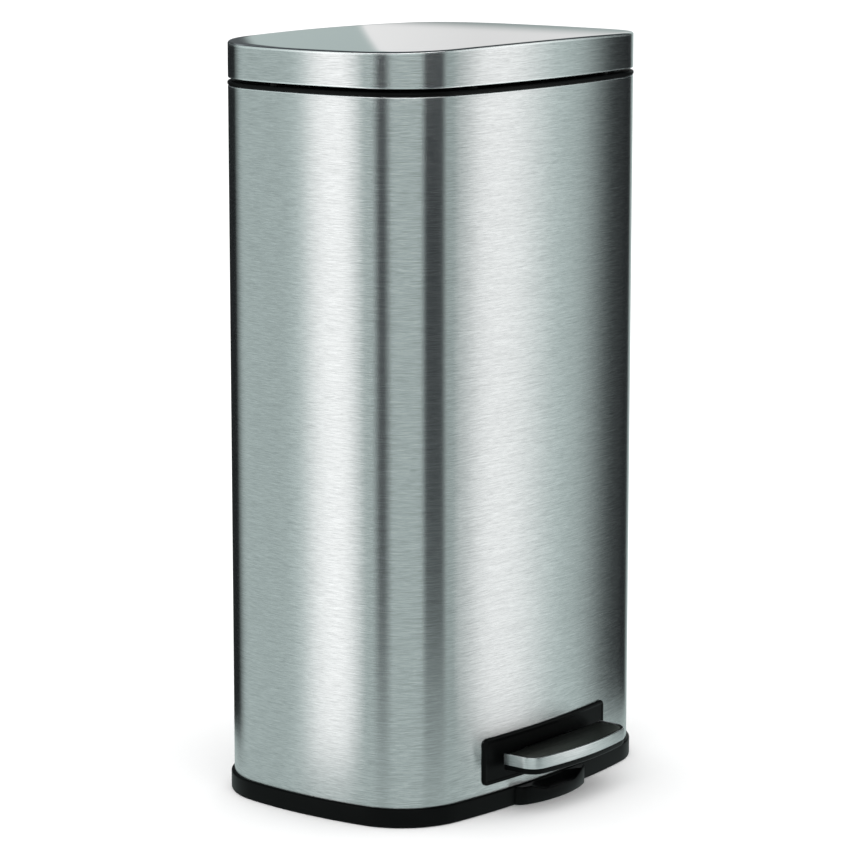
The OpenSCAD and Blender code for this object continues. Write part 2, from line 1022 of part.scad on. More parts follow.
// A plastic bucket with a turned-out rim and a hand slot in each end
module inner_bucket() {
    color(grey_plastic)
        placed()
            difference() {
                union() {
                    ring(bucket_plan, 0, -bucket_wall, platform_top, bucket_top);
                    block(bucket_plan, -1, platform_top, platform_top + 2.5);
                    ring(bucket_plan, 3.2, -1, bucket_top - 2.4, bucket_top);
                    ring(bucket_plan, 3.2, 1.6, bucket_top - 9, bucket_top - 2.4);
                }
                translate([-200, -20, bucket_top - 36])
                    rotate([90, 0, 90])
                        linear_extrude(400)
                            rounded_rect(96, 28, 13.9);
            }
}

body_shell();
top_collar();
base_tray();
foot_pads();
bucket_platform();
platform_screws();
pedal_bezel();
bezel_nuts();
axle_brackets();
bracket_screws();
pedal_axle();
axle_clips();
rod_guides();
guide_rivets();
hinge_bracket();
hinge_rivets();
hinge_pin();
hinge_clips();
damper_cylinder();
damper_clip();
pedal_lever();
pedal_shell();
pedal_band();
pedal_tread();
pedal_screws();
lever_pin();
lift_rod();
lower_yoke();
upper_yoke();
damper_arm();
damper_piston();
lid_shell();
lid_liner();
lid_bracket();
crank_pin();
lid_screws();
lid_bumpers();
inner_bucket();
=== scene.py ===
import json
from math import asin, atan2, cos, pi, radians, sin, sqrt, tan

import bmesh
import bpy
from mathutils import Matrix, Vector

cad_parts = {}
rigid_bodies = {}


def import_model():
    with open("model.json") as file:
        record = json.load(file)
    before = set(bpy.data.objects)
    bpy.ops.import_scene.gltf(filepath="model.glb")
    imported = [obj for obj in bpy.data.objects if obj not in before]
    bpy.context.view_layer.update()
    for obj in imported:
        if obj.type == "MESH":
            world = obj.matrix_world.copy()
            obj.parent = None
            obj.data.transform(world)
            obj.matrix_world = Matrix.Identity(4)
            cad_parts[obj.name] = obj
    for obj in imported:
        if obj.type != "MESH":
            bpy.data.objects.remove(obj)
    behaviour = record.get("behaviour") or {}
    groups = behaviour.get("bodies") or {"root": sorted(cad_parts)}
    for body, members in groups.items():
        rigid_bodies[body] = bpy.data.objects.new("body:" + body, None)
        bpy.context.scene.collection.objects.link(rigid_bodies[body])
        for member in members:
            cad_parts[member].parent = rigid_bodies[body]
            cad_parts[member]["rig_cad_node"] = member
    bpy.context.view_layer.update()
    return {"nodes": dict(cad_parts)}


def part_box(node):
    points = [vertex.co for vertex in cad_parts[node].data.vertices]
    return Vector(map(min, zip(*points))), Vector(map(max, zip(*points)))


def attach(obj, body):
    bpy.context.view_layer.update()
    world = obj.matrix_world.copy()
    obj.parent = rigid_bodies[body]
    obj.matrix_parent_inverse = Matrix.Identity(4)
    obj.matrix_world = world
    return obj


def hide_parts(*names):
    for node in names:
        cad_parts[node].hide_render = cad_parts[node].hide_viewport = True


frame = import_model()
NODES = frame["nodes"]

MM = 0.001  # every shape below is written in millimetres, and scaled once in finished()


def span(node):
    """Lowest and highest corner of a CAD node, in millimetres."""
    low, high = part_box(node)
    return low / MM, high / MM


# ---------------------------------------------------------------- plan of the can

BODY_LOW, BODY_HIGH = span("body_shell")
BODY_TOP = BODY_HIGH.z
FRONT_Y, BACK_Y = BODY_LOW.y, BODY_HIGH.y
MID_Y = (BACK_Y + FRONT_Y) / 2
SHEET = 0.8
FRONT_BOW, SIDE_BOW, BACK_BOW, CORNER = 16.5, 15.5, 5.0, 64


class Plan:
    """Outline of bowed sides and round corners, centred on x = 0, as a ring of points.

    The counts are the points along the front, a front corner, a side, a back corner and the back.
    """

    def __init__(self, half_width, front, back, front_bow, side_bow, back_bow, corner, counts):
        width = 2 * (half_width - side_bow)
        low, high = front + front_bow, back - back_bow
        rf = self.arc_radius(width, front_bow)
        rs = self.arc_radius(high - low, side_bow)
        rb = self.arc_radius(width, back_bow)
        cf = Vector((0, front + rf))
        cs = Vector((half_width - rs, (low + high) / 2))
        cb = Vector((0, back - rb))
        kf = self.crossing(cf, rf - corner, cs, rs - corner, 1)
        kb = self.crossing(cb, rb - corner, cs, rs - corner, -1)
        a1, a2 = self.angle(kf - cf), self.angle(kf - cs)
        a3, a4 = self.angle(kb - cs), self.angle(kb - cb)
        f, c, s, k, b = counts
        self.arcs = [
            (cf, rf, -pi - a1, a1, f), (kf, corner, a1, a2, c), (cs, rs, a2, a3, s),
            (kb, corner, a3, a4, k), (cb, rb, a4, pi - a4, b),
            (self.mirrored(kb), corner, pi - a4, pi - a3, k),
            (self.mirrored(cs), rs, pi - a3, pi - a2, s),
            (self.mirrored(kf), corner, pi - a2, pi - a1, c)]
        self.front_arc, self.back_arc = (cf, rf), (cb, rb)

    @staticmethod
    def mirrored(centre):
        return Vector((-centre.x, centre.y))

    @staticmethod
    def arc_radius(chord, bow):
        """Radius of the arc that stands this far out from its chord."""
        return (chord * chord / 4 + bow * bow) / (2 * bow)

    @staticmethod
    def angle(v):
        return atan2(v.y, v.x)

    @staticmethod
    def crossing(c1, r1, c2, r2, side):
        """Where two circles cross, to one side of the line between their centres."""
        apart = (c2 - c1).length
        along = (r1 * r1 - r2 * r2 + apart * apart) / (2 * apart)
        across = sqrt(r1 * r1 - along * along)
        u = (c2 - c1) / apart
        return c1 + along * u + side * across * Vector((-u.y, u.x))

    def ring(self, offset, z):
        """The outline moved outwards by the offset, at one height."""
        return [Vector((c.x + (r + offset) * cos(a), c.y + (r + offset) * sin(a), z))
                for c, r, start, end, steps in self.arcs
                for a in (start + (end - start) * i / steps for i in range(steps))]

    def front_at(self, x, offset=0.0):
        c, r = self.front_arc
        return c.y - sqrt((r + offset) ** 2 - x * x)

    def back_at(self, x, offset=0.0):
        c, r = self.back_arc
        return c.y + sqrt((r + offset) ** 2 - x * x)


BODY = Plan(BODY_HIGH.x, FRONT_Y, BACK_Y, FRONT_BOW, SIDE_BOW, BACK_BOW, CORNER,
            (56, 26, 34, 26, 40))

# ---------------------------------------------------------------- mesh helpers

WELD = 0.0005  # points closer than this become one


class Build:
    """Collects points and faces in millimetres; every face carries a material number."""

    def __init__(self):
        self.points, self.faces, self.tags = [], [], []

    def ring(self, points):
        start = len(self.points)
        self.points += [Vector(p) for p in points]
        return range(start, len(self.points))

    def bridge(self, a, b, tag=0, closed=True):
        """Faces between two rings of equally many points."""
        n = len(a)
        for i in range(n if closed else n - 1):
            j = (i + 1) % n
            self.faces.append((a[i], a[j], b[j], b[i]))
            self.tags.append(tag)

    def loft(self, rings, closed=True, wrap=False, tags=None):
        """Faces from ring to ring; wrap joins the last ring to the first."""
        ids = [self.ring(r) for r in rings]
        pairs = list(zip(ids, ids[1:] + (ids[:1] if wrap else [])))
        for k, (a, b) in enumerate(pairs):
            self.bridge(a, b, tags[k] if tags else 0, closed)
        return ids

    def fill(self, ids, tag=0):
        self.faces.append(tuple(ids))
        self.tags.append(tag)


def finished(name, build, body, materials, replaces=(), sharp=38):
    """Makes the object, welds and orients it, marks sharp edges, and hands it to the frame."""
    mesh = bpy.data.meshes.new(name)
    mesh.from_pydata([p * MM for p in build.points], [], build.faces)
    mesh.polygons.foreach_set("material_index", build.tags)
    bm = bmesh.new()
    bm.from_mesh(mesh)
    bmesh.ops.remove_doubles(bm, verts=bm.verts, dist=WELD * MM)
    bmesh.ops.dissolve_degenerate(bm, edges=bm.edges, dist=WELD * MM)
    bmesh.ops.recalc_face_normals(bm, faces=bm.faces)
    bm.to_mesh(mesh)
    bm.free()
    mesh.polygons.foreach_set("use_smooth", [True] * len(mesh.polygons))
    mesh.set_sharp_from_angle(angle=radians(sharp))
    for material in materials:
        mesh.materials.append(material)
    piece = bpy.data.objects.new(name, mesh)
    bpy.context.scene.collection.objects.link(piece)
    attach(piece, body)
    if replaces:
        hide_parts(*replaces)
    return piece


def eased(corners, closed=True, steps=4):
    """Rounds the corners of a flat line of (u, v, radius)."""
    out = []
    for i, (u, v, r) in enumerate(corners):
        p = Vector((u, v))
        if r <= 0 or (not closed and i in (0, len(corners) - 1)):
            out.append(p)
            continue
        a = (Vector(corners[i - 1][:2]) - p).normalized()
        b = (Vector(corners[(i + 1) % len(corners)][:2]) - p).normalized()
        half = a.angle(b) / 2
        centre = p + (a + b).normalized() * r / sin(half)
        s, e = p + a * r / tan(half) - centre, p + b * r / tan(half) - centre
        turn = s.angle(e)
        out += [centre + (s * sin((1 - t) * turn) + e * sin(t * turn)) / sin(turn)
                for t in (k / steps for k in range(steps + 1))]
    return out


def swept(profile, tags=None):
    """A closed profile of (offset, z) carried round the body's outline: a watertight ring."""
    build = Build()
    build.loft([BODY.ring(offset, z) for offset, z in profile], wrap=True, tags=tags)
    return build


def shrunk(ring, keep, z):
    """The ring drawn in towards its middle, at the height z or z(point)."""
    low = Vector(min(p[i] for p in ring) for i in range(3))
    high = Vector(max(p[i] for p in ring) for i in range(3))
    middle = (low + high) / 2
    out = []
    for p in ring:
        q = middle + (p - middle) * keep
        out.append(Vector((q.x, q.y, z(q) if callable(z) else z)))
    return out


def dome(build, centre, radius, height, foot, rings, around):
    """A low domed head on a short foot, pointing backwards."""
    axis = Vector((0, 1, 0))
    side = axis.orthogonal().normalized()
    other = axis.cross(side)

    def circle(r, h):
        return [Vector(centre) + axis * h + (side * cos(2 * pi * i / around)
                + other * sin(2 * pi * i / around)) * r for i in range(around)]

    bulge = (radius * radius + height * height) / (2 * height)
    rows = [circle(radius * 0.98, -foot), circle(radius, 0)]
    for k in range(1, rings + 1):
        r = radius * (1 - k / (rings + 1.0))
        rows.append(circle(r, sqrt(bulge * bulge - r * r) - (bulge - height)))
    ids = build.loft(rows)
    build.fill(ids[-1])
    build.fill(ids[0])


def lathe(build, centre, steps, around=32):
    """A turned shape about an upright axis, from (radius, z) steps, filled at both ends."""
    rows = [[Vector((centre[0] + r * cos(2 * pi * k / around),
                     centre[1] + r * sin(2 * pi * k / around), z)) for k in range(around)]
            for r, z in steps]
    ids = build.loft(rows)
    build.fill(ids[0])
    build.fill(ids[-1])


def prism(outline, low, high, axis="z"):
    """A closed straight prism of a flat outline, along one axis."""
    put = {"z": lambda a, b, c: (a, b, c), "y": lambda a, b, c: (a, c, b),
           "x": lambda a, b, c: (c, a, b)}[axis]
    build = Build()
    ids = build.loft([[put(a, b, low) for a, b in outline], [put(a, b, high) for a, b in outline]])
    build.fill(ids[0])
    build.fill(ids[1])
    return build


def rounded_rect(half_w, half_h, r, steps=6, centre=(0, 0)):
    corners = [(-half_w, -half_h), (half_w, -half_h), (half_w, half_h), (-half_w, half_h)]
    return [p + Vector(centre) for p in eased([(*c, r) for c in corners], steps=steps)]


def cut_with(piece, cutters):
    """Takes the cutters' closed shapes out of the piece, as real geometry."""
    bpy.context.view_layer.update()
    for cutter in cutters:
        mesh = bpy.data.meshes.new("cutter")
        mesh.from_pydata([p * MM for p in cutter.points], [], cutter.faces)
        bm = bmesh.new()
        bm.from_mesh(mesh)
        bmesh.ops.recalc_face_normals(bm, faces=bm.faces)
        bm.to_mesh(mesh)
        bm.free()
        tool = bpy.data.objects.new("cutter", mesh)
        bpy.context.scene.collection.objects.link(tool)
        modifier = piece.modifiers.new("cut", "BOOLEAN")
        modifier.operation, modifier.solver, modifier.object = "DIFFERENCE", "EXACT", tool
        graph = bpy.context.evaluated_depsgraph_get()
        cut = bpy.data.meshes.new_from_object(piece.evaluated_get(graph), depsgraph=graph)
        piece.modifiers.remove(modifier)
        old = piece.data
        piece.data = cut
        cut.name = old.name
        bpy.data.meshes.remove(old)
        bpy.data.objects.remove(tool)
        bpy.data.meshes.remove(mesh)


def softened(piece, width, segments=2):
    """Small round edges, as a modifier."""
    bevel = piece.modifiers.new("soft_edges", "BEVEL")
    bevel.width, bevel.segments, bevel.limit_method = width * MM, segments, "ANGLE"
    bevel.angle_limit = radians(40)
    bevel.use_clamp_overlap = True


# ---------------------------------------------------------------- materials


def tree_of(name):
    material = bpy.data.materials.new(name)
    material.use_nodes = True
    nodes = material.node_tree.nodes
    return material, nodes, material.node_tree.links, nodes["Principled BSDF"]


def add(nodes, links, kind, settings=None, **inputs):
    """One node, with its settings and its inputs, which are numbers or other nodes' sockets."""
    made = nodes.new(kind)
    for key, value in (settings or {}).items():
        setattr(made, key, value)
    for key, value in inputs.items():
        slot = made.inputs[key.replace("_", " ")]
        if isinstance(value, bpy.types.NodeSocket):
            links.new(value, slot)
        else:
            slot.default_value = value
    return made


def ramp(nodes, links, source, stops):
    """A colour ramp of (place, colour) stops."""
    made = nodes.new("ShaderNodeValToRGB")
    elements = made.color_ramp.elements
    for i, (place, colour) in enumerate(stops):
        element = elements[i] if i < 2 else elements.new(place)
        element.position = place
        element.color = (*colour, 1)
    links.new(source, made.inputs[0])
    return made.outputs[0]


def grain(nodes, links, scale, detail, stretch, roughness=0.6):
    """Noise in object space, stretched by scaling each axis."""
    place = add(nodes, links, "ShaderNodeTexCoord")
    mapped = add(nodes, links, "ShaderNodeMapping", Vector=place.outputs["Object"], Scale=stretch)
    return add(nodes, links, "ShaderNodeTexNoise", Vector=mapped.outputs[0], Scale=scale,
               Detail=detail, Roughness=roughness).outputs[0]


def span_of(nodes, links, source, low, high):
    """Maps the middle half of a noise signal to low..high."""
    return add(nodes, links, "ShaderNodeMapRange", Value=source, To_Min=low, To_Max=high,
               From_Min=0.25, From_Max=0.75).outputs[0]


def bumped(nodes, links, shader, height, strength, distance):
    made = add(nodes, links, "ShaderNodeBump", Height=height, Strength=strength,
               Distance=distance * MM)
    links.new(made.outputs[0], shader.inputs["Normal"])


def brushed(name, stretch, dark, light, rough, aniso, axis, turn, bump=0.25, mottle=0.03,
            gloss=0.035, grazing=None):
    """Brushed stainless steel: hairlines in colour, gloss and height, along one direction."""
    material, nodes, links, shader = tree_of(name)
    hairs = grain(nodes, links, 1.0, 3.0, stretch, 0.75)
    fine = grain(nodes, links, 1.0, 2.0, tuple(2.7 * s for s in stretch), 0.6)
    cloud = grain(nodes, links, 5.0, 2.0, (1, 1, 1.6))
    both = add(nodes, links, "ShaderNodeMix", {"data_type": "FLOAT"},
               Factor=0.5, A=hairs, B=fine).outputs[0]
    worn = add(nodes, links, "ShaderNodeMath", {"operation": "MULTIPLY_ADD"})
    links.new(cloud, worn.inputs[0])
    worn.inputs[1].default_value = mottle
    links.new(both, worn.inputs[2])
    links.new(ramp(nodes, links, worn.outputs[0], [(0.36, dark), (0.68, light)]),
              shader.inputs["Base Color"])
    links.new(span_of(nodes, links, both, rough - gloss, rough + gloss),
              shader.inputs["Roughness"])
    shader.inputs["Metallic"].default_value = 1.0
    if grazing:
        shader.inputs["Specular Tint"].default_value = (*grazing, 1)
    shader.inputs["Anisotropic"].default_value = aniso
    shader.inputs["Anisotropic Rotation"].default_value = turn
    tangent = add(nodes, links, "ShaderNodeTangent", {"direction_type": "RADIAL", "axis": axis})
    links.new(tangent.outputs[0], shader.inputs["Tangent"])
    bumped(nodes, links, shader, both, bump, 0.02)
    return material


def moulded(name, dark, light, rough, texture=900.0, bump=0.12, specular=0.5):
    """Moulded plastic: a fine spark-eroded texture, and faint cloudy changes of gloss."""
    material, nodes, links, shader = tree_of(name)
    fine = grain(nodes, links, texture, 2.0, (1, 1, 1))
    cloud = grain(nodes, links, 14.0, 3.0, (1, 1, 1))
    links.new(ramp(nodes, links, cloud, [(0.3, dark), (0.7, light)]),
              shader.inputs["Base Color"])
    links.new(span_of(nodes, links, cloud, rough - 0.05, rough + 0.06),
              shader.inputs["Roughness"])
    shader.inputs["Specular IOR Level"].default_value = specular
    bumped(nodes, links, shader, fine, bump, 0.05)
    return material


def plated(name, dark, light, rough, scale=260.0, bump=0.15):
    """Bare or zinc-plated metal hardware: a mottled colour and gloss, with light scratches."""
    material, nodes, links, shader = tree_of(name)
    spots = grain(nodes, links, scale, 3.0, (1, 1, 1))
    lines = grain(nodes, links, 1.0, 3.0, (180, 900, 260))
    links.new(ramp(nodes, links, spots, [(0.3, dark), (0.7, light)]),
              shader.inputs["Base Color"])
    links.new(span_of(nodes, links, lines, rough - 0.08, rough + 0.08),
              shader.inputs["Roughness"])
    shader.inputs["Metallic"].default_value = 1.0
    bumped(nodes, links, shader, lines, bump, 0.03)
    return material


STEEL_DARK, STEEL_LIGHT = (0.49, 0.505, 0.505), (0.865, 0.88, 0.88)
WALL = brushed("brushed_wall", (46, 46, 1450), STEEL_DARK, STEEL_LIGHT, 0.235, 0.93, "Z", 0.25)
CROWN = brushed("brushed_crown", (26, 1400, 26), (0.70, 0.715, 0.715), (0.80, 0.815, 0.815),
                0.055, 0.0, "X", 0.0, bump=0.02, gloss=0.01)
# The rolled edges: polished steel, less rough than the walls, whose near-white colour, lighter
# than the wall steel, is a painted highlight along the edges
EDGE_PAINTED_HIGHLIGHT = brushed("rolled_edge_painted_highlight", (60, 60, 900), (0.90, 0.92, 0.92), (0.98, 1.0, 1.0),
               0.26, 0.2, "Z", 0.25, bump=0.06)
# The pedal's tread: brushed steel whose colour is painted near black, with its grazing reflection
# cut, as painted shade
TREAD_PAINTED_SHADE = brushed("tread_steel", (22, 1500, 26), (0.03, 0.031, 0.029), (0.24, 0.245, 0.23),
                0.34, 0.7, "X", 0.0, bump=0.35, grazing=(0.78, 0.80, 0.76))
RIM = brushed("pedal_rim_steel", (40, 40, 1400), (0.62, 0.64, 0.64), (0.98, 0.99, 0.99),
              0.38, 0.75, "Z", 0.25)
BLACK = moulded("black_plastic", (0.0012, 0.0014, 0.0014), (0.0022, 0.0025, 0.0025), 0.38,
                specular=0.085)
BUCKET = moulded("bucket_plastic", (0.040, 0.043, 0.046), (0.056, 0.060, 0.063), 0.46,
                 texture=650.0, bump=0.2)
DAMPER = moulded("damper_plastic", (0.10, 0.105, 0.11), (0.14, 0.145, 0.15), 0.42)
RUBBER = moulded("black_rubber", (0.006, 0.006, 0.006), (0.012, 0.012, 0.0115), 0.75,
                 texture=420.0, bump=0.35, specular=0.2)
ZINC = plated("zinc_steel", (0.44, 0.45, 0.45), (0.62, 0.63, 0.62), 0.36)
BRIGHT = plated("bright_steel", (0.60, 0.61, 0.61), (0.74, 0.75, 0.75), 0.22, 420.0, 0.08)

# ---------------------------------------------------------------- steel body

GROOVE_Z = BODY_LOW.z  # the sheet's lower edge, in the plinth's groove
HEM, HEM_DEEP, HEM_FACE = 2.2, 9, -1.5  # the rolled top edge's width, depth and inner side
NECK_HALF, NECK_LOW, NECK_HIGH = 38.0, 26.0, 58.0

levels = [GROOVE_Z + (BODY_TOP - HEM_DEEP - GROOVE_Z) * i / 24 for i in range(25)]
hem = eased([(0, BODY_TOP - 8, 0), (0, BODY_TOP, 1.3), (-HEM, BODY_TOP, 0.8),
             (-HEM, BODY_TOP - 6, 0.4), (-SHEET, BODY_TOP - 6, 0.3),
             (-SHEET, BODY_TOP - HEM_DEEP, 0)], closed=False)
profile = [(0.0, z) for z in levels] + hem + [(-SHEET, z) for z in reversed(levels)]
# The hem takes the rolled-edge steel, whose lighter colour is a painted highlight
tags = [0 if z < BODY_TOP - HEM or offset < HEM_FACE else 1 for offset, z in profile]
body = finished("steel_body", swept(profile, tags), "can",
                [WALL, EDGE_PAINTED_HIGHLIGHT], ["body_shell"], sharp=40)
cut_with(body, [prism(rounded_rect(NECK_HALF, (NECK_HIGH - NECK_LOW) / 2, 2,
                centre=(0, (NECK_HIGH + NECK_LOW) / 2)), FRONT_Y - 5, FRONT_Y + 15, "y")])

# The lap of the sheet down the back, with its row of spot welds
SEAM_X, SEAM_HALF, SEAM_LOW, SEAM_HIGH, SEAM_PROUD = -62.0, 6.0, 18.0, BODY_TOP - 8, 0.5
SPOTS, SPOT_LOW, SPOT_PITCH = 12, 44, 48.5
SPOT_HEAD = (2.4, 0.32, 0.1, 2, 16)  # radius, height, foot, rings and points round it
build = Build()
rows = []
for z, proud in ((SEAM_LOW, 0.1), (SEAM_LOW + 0.6, SEAM_PROUD), (300.0, SEAM_PROUD),
                 (BODY_TOP - 8.6, SEAM_PROUD), (SEAM_HIGH, 0.1)):
    rows.append([Vector((SEAM_X + x, BODY.back_at(SEAM_X + x, d), z)) for x, d in
                 ((-SEAM_HALF, -0.2), (-SEAM_HALF, proud * 0.6), (-SEAM_HALF + 0.4, proud),
                  (0, proud), (SEAM_HALF - 0.4, proud), (SEAM_HALF, proud * 0.6),
                  (SEAM_HALF, -0.2))])
ids = build.loft(rows)
build.fill(ids[0])
build.fill(ids[-1])
for k in range(SPOTS):
    z = SPOT_LOW + k * SPOT_PITCH
    dome(build, (SEAM_X, BODY.back_at(SEAM_X, 0.42), z), *SPOT_HEAD)
finished("body_seam", build, "can", [WALL], sharp=30)

# ---------------------------------------------------------------- steel lid

LID_LOW, LID_HIGH = span("lid_shell")
LID_BAND = 29  # height of the lid's upright side
RIM_Z = LID_LOW.z + LID_BAND
BOW = LID_HIGH.z - RIM_Z
EASE = 2.0


def lid_top(point, drop=0.0):
    """The top of the lid is flat from front to back, and bows up between the sides."""
    return RIM_Z + BOW * (1 - (point.x / BODY_HIGH.x) ** 2) - drop


def hung(offset, drop):
    """A ring of the plan that hangs a fixed drop below the lid's top."""
    return [Vector((p.x, p.y, lid_top(p, drop))) for p in BODY.ring(offset, 0)]


build = Build()
base_z = LID_LOW.z
outer = [BODY.ring(-0.5, base_z), BODY.ring(-0.12, base_z + 0.25), BODY.ring(0, base_z + 0.8),
         BODY.ring(0, base_z + 1.3), BODY.ring(0, RIM_Z - 6), hung(0, EASE + 0.7)]
turns = [radians(90 * k / 9) for k in range(10)]
edge = [hung(-EASE * (1 - cos(a)), EASE * (1 - sin(a))) for a in turns]
steps = 26
crown = [shrunk(edge[-1], 1 - k / (steps + 0.5), lid_top) for k in range(1, steps + 1)]
# Tag 1 is the rolled-edge steel, whose lighter colour paints a highlight on the lid's lower and
# upper edges
outside = build.loft(outer + edge + crown, tags=[1, 1, 1, 0, 0] + [1] * 4 + [2] * (6 + steps))
build.fill(outside[-1], 2)
inner = [BODY.ring(-1.0, base_z), BODY.ring(-1.6, base_z + 0.6),
         BODY.ring(-SHEET - 0.6, base_z + 1.4), BODY.ring(-SHEET, base_z + 2),
         hung(-SHEET, 4.0), hung(-SHEET - 1, 1.8), hung(-SHEET - 3.4, SHEET)]
under = [shrunk(inner[-1], 1 - k / 8.5, lambda q: lid_top(q, SHEET)) for k in range(1, 9)]
ids = build.loft(inner + under, tags=[1, 1] + [0] * (len(inner) + len(under) - 3))
build.fill(ids[-1], 0)
build.bridge(ids[0], outside[0], 1)
finished("steel_lid", build, "lid", [WALL, EDGE_PAINTED_HIGHLIGHT, CROWN], ["lid_shell"], sharp=50)

# ---------------------------------------------------------------- collar under the lid

ROD_LOW, ROD_HIGH = span("lift_rod")
ROD_Y = (ROD_LOW.y + ROD_HIGH.y) / 2
low, high = BODY_TOP, span("top_collar")[1].z
profile = eased([(0.5, low, 1.3), (0.5, high, 1.6), (-14, high, 1.0), (-14, low + 0.4, 0.4),
                 (-4.0, low, 0.6), (-4.0, low - 16, 0.5), (-HEM, low - 16, 0.4),
                 (-HEM, low, 0)], steps=5)
collar = finished("collar_ring", swept(profile), "can", [BLACK],
                  ["top_collar"], sharp=45)
deck = [(p.x, p.y) for p in BODY.ring(-4, 0) if p.y > ROD_Y - 9]
deck = finished("collar_deck", prism(deck, low + 0.3, high - 0.05), "can",
                [BLACK], ["top_collar"], sharp=40)
notch = prism([(-42, ROD_Y - 10), (42, ROD_Y - 10), (42, BACK_Y + 20), (-42, BACK_Y + 20)],
              low - 30, high + 20)
cut_with(collar, [notch])
cut_with(deck, [notch])
softened(deck, 0.5, 3)

# ---------------------------------------------------------------- base plinth and toe lip

PROUD = 2.7  # how far the plinth stands out from the steel
TRAY_LOW = span("base_tray")[0]
PLINTH_LOW, PLINTH_TOP = TRAY_LOW.z, 16.4
LIP_TOP, LIP_END, LIP_ARC, LIP_FILLET, LIP_ROWS = PLINTH_TOP - 0.8, 48.0, 120.0, 12.0, 14
SCOOP_Y, SCOOP_Z, SCOOP_FLAT, SCOOP_END = FRONT_Y - 12, PLINTH_TOP + 5.9, 14.0, 46.0
FLOOR_LOW, FLOOR_TOP = 3.0, 5.5
profile = eased([(PROUD - 0.5, PLINTH_LOW, 0.5), (PROUD, 1.4, 0.8), (PROUD, PLINTH_TOP, 1.8),
                 (0.05, PLINTH_TOP, 0.3), (0.05, 12.0, 0), (-SHEET, 12.0, 0),
                 (-SHEET, 24.0, 0.3), (-3.2, 24.0, 0.5), (-3.2, PLINTH_LOW, 0.5)], steps=5)
plinth = swept(profile)
floor_rings = [BODY.ring(-3.0, FLOOR_LOW), BODY.ring(-3.0, FLOOR_TOP)]
ids = plinth.loft([shrunk(floor_rings[0], 0.05, FLOOR_LOW), *floor_rings,
                   shrunk(floor_rings[1], 0.05, FLOOR_TOP)])
plinth.fill(ids[0])
plinth.fill(ids[-1])
LEG_X, LEG_Y, LEGS_MIDDLE, RIB_X = 125, 48, MID_Y + 5.75, 60
for x in (-LEG_X, LEG_X):
    for y in (LEGS_MIDDLE - LEG_Y, LEGS_MIDDLE + LEG_Y):
        lathe(plinth, (x, y), [(9, FLOOR_TOP - 1), (9, 14.4), (8.4, 15), (2.2, 15)])
for x in (-RIB_X, RIB_X):
    rib = [(x - 1, MID_Y - 84), (x + 1, MID_Y - 84), (x + 1, MID_Y + 96), (x - 1, MID_Y + 96)]
    ids = plinth.loft([[Vector((*q, FLOOR_TOP - 1)) for q in rib],
                       [Vector((*q, 12.0)) for q in rib]])
    plinth.fill(ids[0])
    plinth.fill(ids[-1])
finished("base_plinth", plinth, "can", [BLACK], ["base_tray"], sharp=40)

# The toe lip: one shallow arc, with a small round corner at each end
lip_y = TRAY_LOW.y
fillet_x = LIP_END - LIP_FILLET
fillet_y = lip_y + LIP_ARC - sqrt((LIP_ARC - LIP_FILLET) ** 2 - fillet_x ** 2)
meet = asin(fillet_x / (LIP_ARC - LIP_FILLET))


def lip_line(inset):
    """Right half of the toe lip's outline, from its middle round to its end."""
    front = [((LIP_ARC - inset) * sin(t), lip_y + LIP_ARC - (LIP_ARC - inset) * cos(t))
             for t in (meet * k / 44 for k in range(44))]
    r = LIP_FILLET - inset
    return front + [(fillet_x + r * sin(t), fillet_y - r * cos(t))
                    for t in (meet + (pi / 2 - meet) * k / 14 for k in range(15))]


def both_halves(line):
    return [Vector((-x, y)) for x, y in reversed(line[1:])] + [Vector((x, y)) for x, y in line]


def lip_height(q, drop=0.0):
    """Top of the lip: flat at its ends, with a round hollow between them."""
    along = min(max((abs(q.x) - SCOOP_FLAT) / (SCOOP_END - SCOOP_FLAT), 0.0), 1.0)
    radius = 12 - 6.5 * along * along * (3 - 2 * along)
    bottom = SCOOP_Z - sqrt(max(radius ** 2 - (q.y - SCOOP_Y) ** 2, 0))
    return min(LIP_TOP, bottom) - drop


lines = [both_halves(lip_line(0)), both_halves(lip_line(0.4)), both_halves(lip_line(1.3))]
back_line = [Vector((q.x * 0.985, BODY.front_at(q.x * 0.985, 1.2))) for q in lines[0]]
rows = [[Vector((*q, PLINTH_LOW)) for q in lines[1]],
        [Vector((*q, PLINTH_LOW + 0.5)) for q in lines[0]],
        [Vector((*q, lip_height(q, 1.3))) for q in lines[0]],
        [Vector((*q, lip_height(q, 0.4))) for q in lines[1]],
        [Vector((*q, lip_height(q))) for q in lines[2]]]
for k in range(1, LIP_ROWS + 1):
    line = [a.lerp(b, k / LIP_ROWS) for a, b in zip(lines[2], back_line)]
    rows.append([Vector((*q, lip_height(q))) for q in line])
rows.append([Vector((*q, PLINTH_LOW)) for q in back_line])
build = Build()
ids = build.loft(rows, closed=False, wrap=True)
build.fill([row[0] for row in ids])
build.fill([row[-1] for row in ids])
finished("toe_lip", build, "can", [BLACK], ["base_tray"], sharp=48)

# ---------------------------------------------------------------- pedal surround

BEZEL_LOW, BEZEL_HIGH = span("pedal_bezel")
BEZEL_HALF, BEZEL_DEEP = BEZEL_HIGH.x, 2.2
WINDOW_HALF, WINDOW_LOW, WINDOW_HIGH = 34.0, 27.5, 47.5


